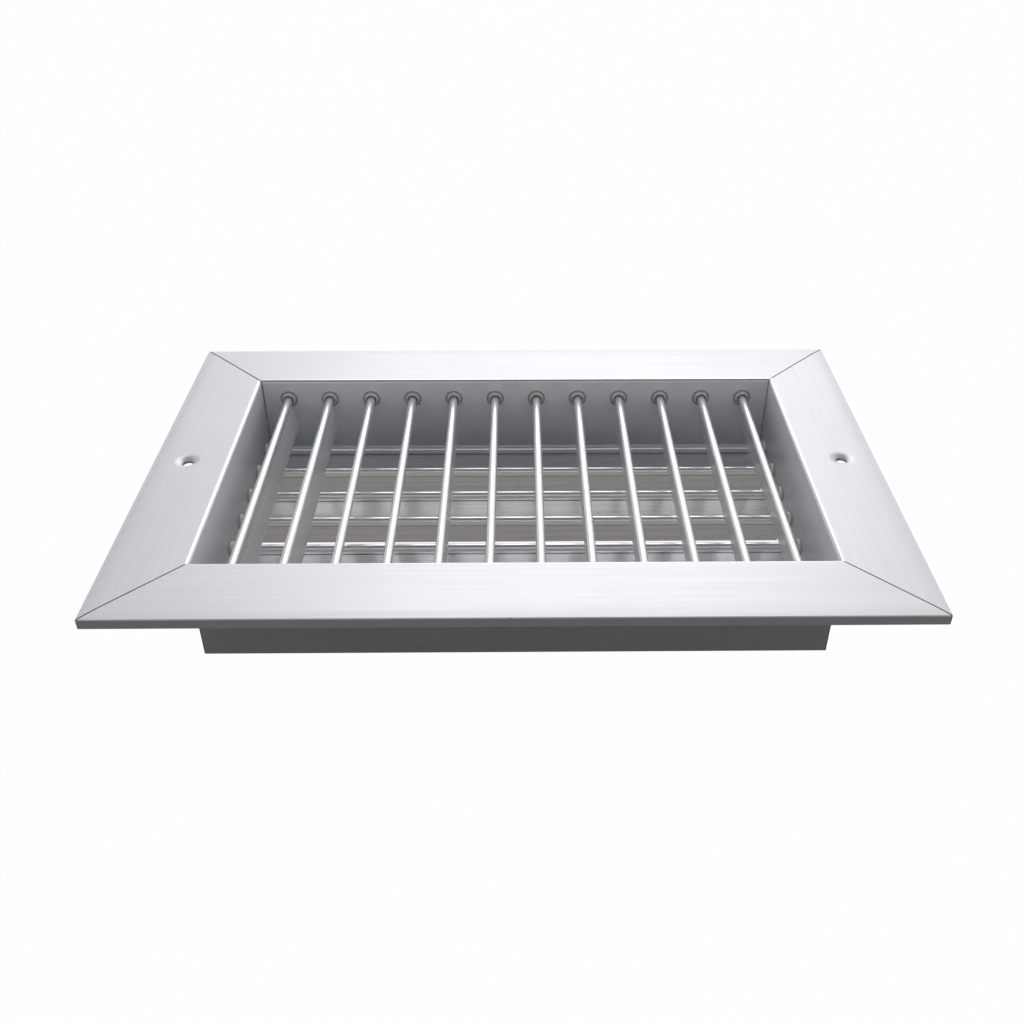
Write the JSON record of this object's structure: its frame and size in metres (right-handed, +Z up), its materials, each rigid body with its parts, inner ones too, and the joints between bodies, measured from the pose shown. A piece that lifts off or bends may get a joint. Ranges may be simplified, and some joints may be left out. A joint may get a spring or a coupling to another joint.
{
  "type": "supply air grille",
  "caption": "Rectangular double-deflection supply air grille: mitred aluminium frame with a neck, upright front blades and crossing rear blades that turn in nylon bushes.",
  "frame": {"origin": "middle of the neck's rim, on which the grille lies face up", "axes": "+X along the face, +Y across it towards the back edge in the picture, +Z up out of the face"},
  "size_m": [0.3, 0.2, 0.0436],
  "materials": {
    "frame_aluminium": "satin anodised aluminium extrusion",
    "blade_aluminium": "satin aluminium extrusion with fine die lines",
    "key_aluminium": "punched mill-finish aluminium",
    "bush_nylon": "moulded natural grey nylon"
  },
  "bodies": {
    "frame": {"frame_front": "frame_aluminium", "frame_back": "frame_aluminium", "frame_left": "frame_aluminium", "frame_right": "frame_aluminium", "corner_key_front_left": "key_aluminium", "corner_key_front_right": "key_aluminium", "corner_key_back_left": "key_aluminium", "corner_key_back_right": "key_aluminium", "front_bushes": "bush_nylon", "back_bushes": "bush_nylon", "left_bushes": "bush_nylon", "right_bushes": "bush_nylon"},
    "front_blade_01": {"front_blade_01": "blade_aluminium"},
    "front_blade_02": {"front_blade_02": "blade_aluminium"},
    "front_blade_03": {"front_blade_03": "blade_aluminium"},
    "front_blade_04": {"front_blade_04": "blade_aluminium"},
    "front_blade_05": {"front_blade_05": "blade_aluminium"},
    "front_blade_06": {"front_blade_06": "blade_aluminium"},
    "front_blade_07": {"front_blade_07": "blade_aluminium"},
    "front_blade_08": {"front_blade_08": "blade_aluminium"},
    "front_blade_09": {"front_blade_09": "blade_aluminium"},
    "front_blade_10": {"front_blade_10": "blade_aluminium"},
    "front_blade_11": {"front_blade_11": "blade_aluminium"},
    "front_blade_12": {"front_blade_12": "blade_aluminium"},
    "rear_blade_1": {"rear_blade_1": "blade_aluminium"},
    "rear_blade_2": {"rear_blade_2": "blade_aluminium"},
    "rear_blade_3": {"rear_blade_3": "blade_aluminium"},
    "rear_blade_4": {"rear_blade_4": "blade_aluminium"},
    "rear_blade_5": {"rear_blade_5": "blade_aluminium"},
    "rear_blade_6": {"rear_blade_6": "blade_aluminium"},
    "rear_blade_7": {"rear_blade_7": "blade_aluminium"}
  },
  "joints": [
    {"name": "front_blade_01_turn", "type": "hinge", "parent": "frame", "child": "front_blade_01", "pos_m": [-0.1067, 0, 0.0341], "axis": [0, -1, 0], "range_deg": [-59, 21]},
    {"name": "front_blade_02_turn", "type": "hinge", "parent": "frame", "child": "front_blade_02", "pos_m": [-0.0873, 0, 0.0341], "axis": [0, -1, 0], "range_deg": [-52, 28]},
    {"name": "front_blade_03_turn", "type": "hinge", "parent": "frame", "child": "front_blade_03", "pos_m": [-0.0679, 0, 0.0341], "axis": [0, -1, 0], "range_deg": [-24, 56]},
    {"name": "front_blade_04_turn", "type": "hinge", "parent": "frame", "child": "front_blade_04", "pos_m": [-0.0485, 0, 0.0341], "axis": [0, -1, 0], "range_deg": [-28, 52]},
    {"name": "front_blade_05_turn", "type": "hinge", "parent": "frame", "child": "front_blade_05", "pos_m": [-0.0291, 0, 0.0341], "axis": [0, -1, 0], "range_deg": [-46, 34]},
    {"name": "front_blade_06_turn", "type": "hinge", "parent": "frame", "child": "front_blade_06", "pos_m": [-0.0097, 0, 0.0341], "axis": [0, -1, 0], "range_deg": [-38, 42]},
    {"name": "front_blade_07_turn", "type": "hinge", "parent": "frame", "child": "front_blade_07", "pos_m": [0.0097, 0, 0.0341], "axis": [0, -1, 0], "range_deg": [-41, 39]},
    {"name": "front_blade_08_turn", "type": "hinge", "parent": "frame", "child": "front_blade_08", "pos_m": [0.0291, 0, 0.0341], "axis": [0, -1, 0], "range_deg": [-36, 44]},
    {"name": "front_blade_09_turn", "type": "hinge", "parent": "frame", "child": "front_blade_09", "pos_m": [0.0485, 0, 0.0341], "axis": [0, -1, 0], "range_deg": [-37, 43]},
    {"name": "front_blade_10_turn", "type": "hinge", "parent": "frame", "child": "front_blade_10", "pos_m": [0.0679, 0, 0.0341], "axis": [0, -1, 0], "range_deg": [-40, 40]},
    {"name": "front_blade_11_turn", "type": "hinge", "parent": "frame", "child": "front_blade_11", "pos_m": [0.0873, 0, 0.0341], "axis": [0, -1, 0], "range_deg": [-42, 38]},
    {"name": "front_blade_12_turn", "type": "hinge", "parent": "frame", "child": "front_blade_12", "pos_m": [0.1067, 0, 0.0341], "axis": [0, -1, 0], "range_deg": [-42, 38]},
    {"name": "rear_blade_1_turn", "type": "hinge", "parent": "frame", "child": "rear_blade_1", "pos_m": [0, -0.0582, 0.0124], "axis": [1, 0, 0], "range_deg": [-42, 38]},
    {"name": "rear_blade_2_turn", "type": "hinge", "parent": "frame", "child": "rear_blade_2", "pos_m": [0, -0.0388, 0.0124], "axis": [1, 0, 0], "range_deg": [-47, 33]},
    {"name": "rear_blade_3_turn", "type": "hinge", "parent": "frame", "child": "rear_blade_3", "pos_m": [0, -0.0194, 0.0124], "axis": [1, 0, 0], "range_deg": [-7, 73]},
    {"name": "rear_blade_4_turn", "type": "hinge", "parent": "frame", "child": "rear_blade_4", "pos_m": [0, 0, 0.0124], "axis": [1, 0, 0], "range_deg": [-46, 34]},
    {"name": "rear_blade_5_turn", "type": "hinge", "parent": "frame", "child": "rear_blade_5", "pos_m": [0, 0.0194, 0.0124], "axis": [1, 0, 0], "range_deg": [-6, 74]},
    {"name": "rear_blade_6_turn", "type": "hinge", "parent": "frame", "child": "rear_blade_6", "pos_m": [0, 0.0388, 0.0124], "axis": [1, 0, 0], "range_deg": [-48, 32]},
    {"name": "rear_blade_7_turn", "type": "hinge", "parent": "frame", "child": "rear_blade_7", "pos_m": [0, 0.0582, 0.0124], "axis": [1, 0, 0], "range_deg": [-36, 44]}
  ]
}
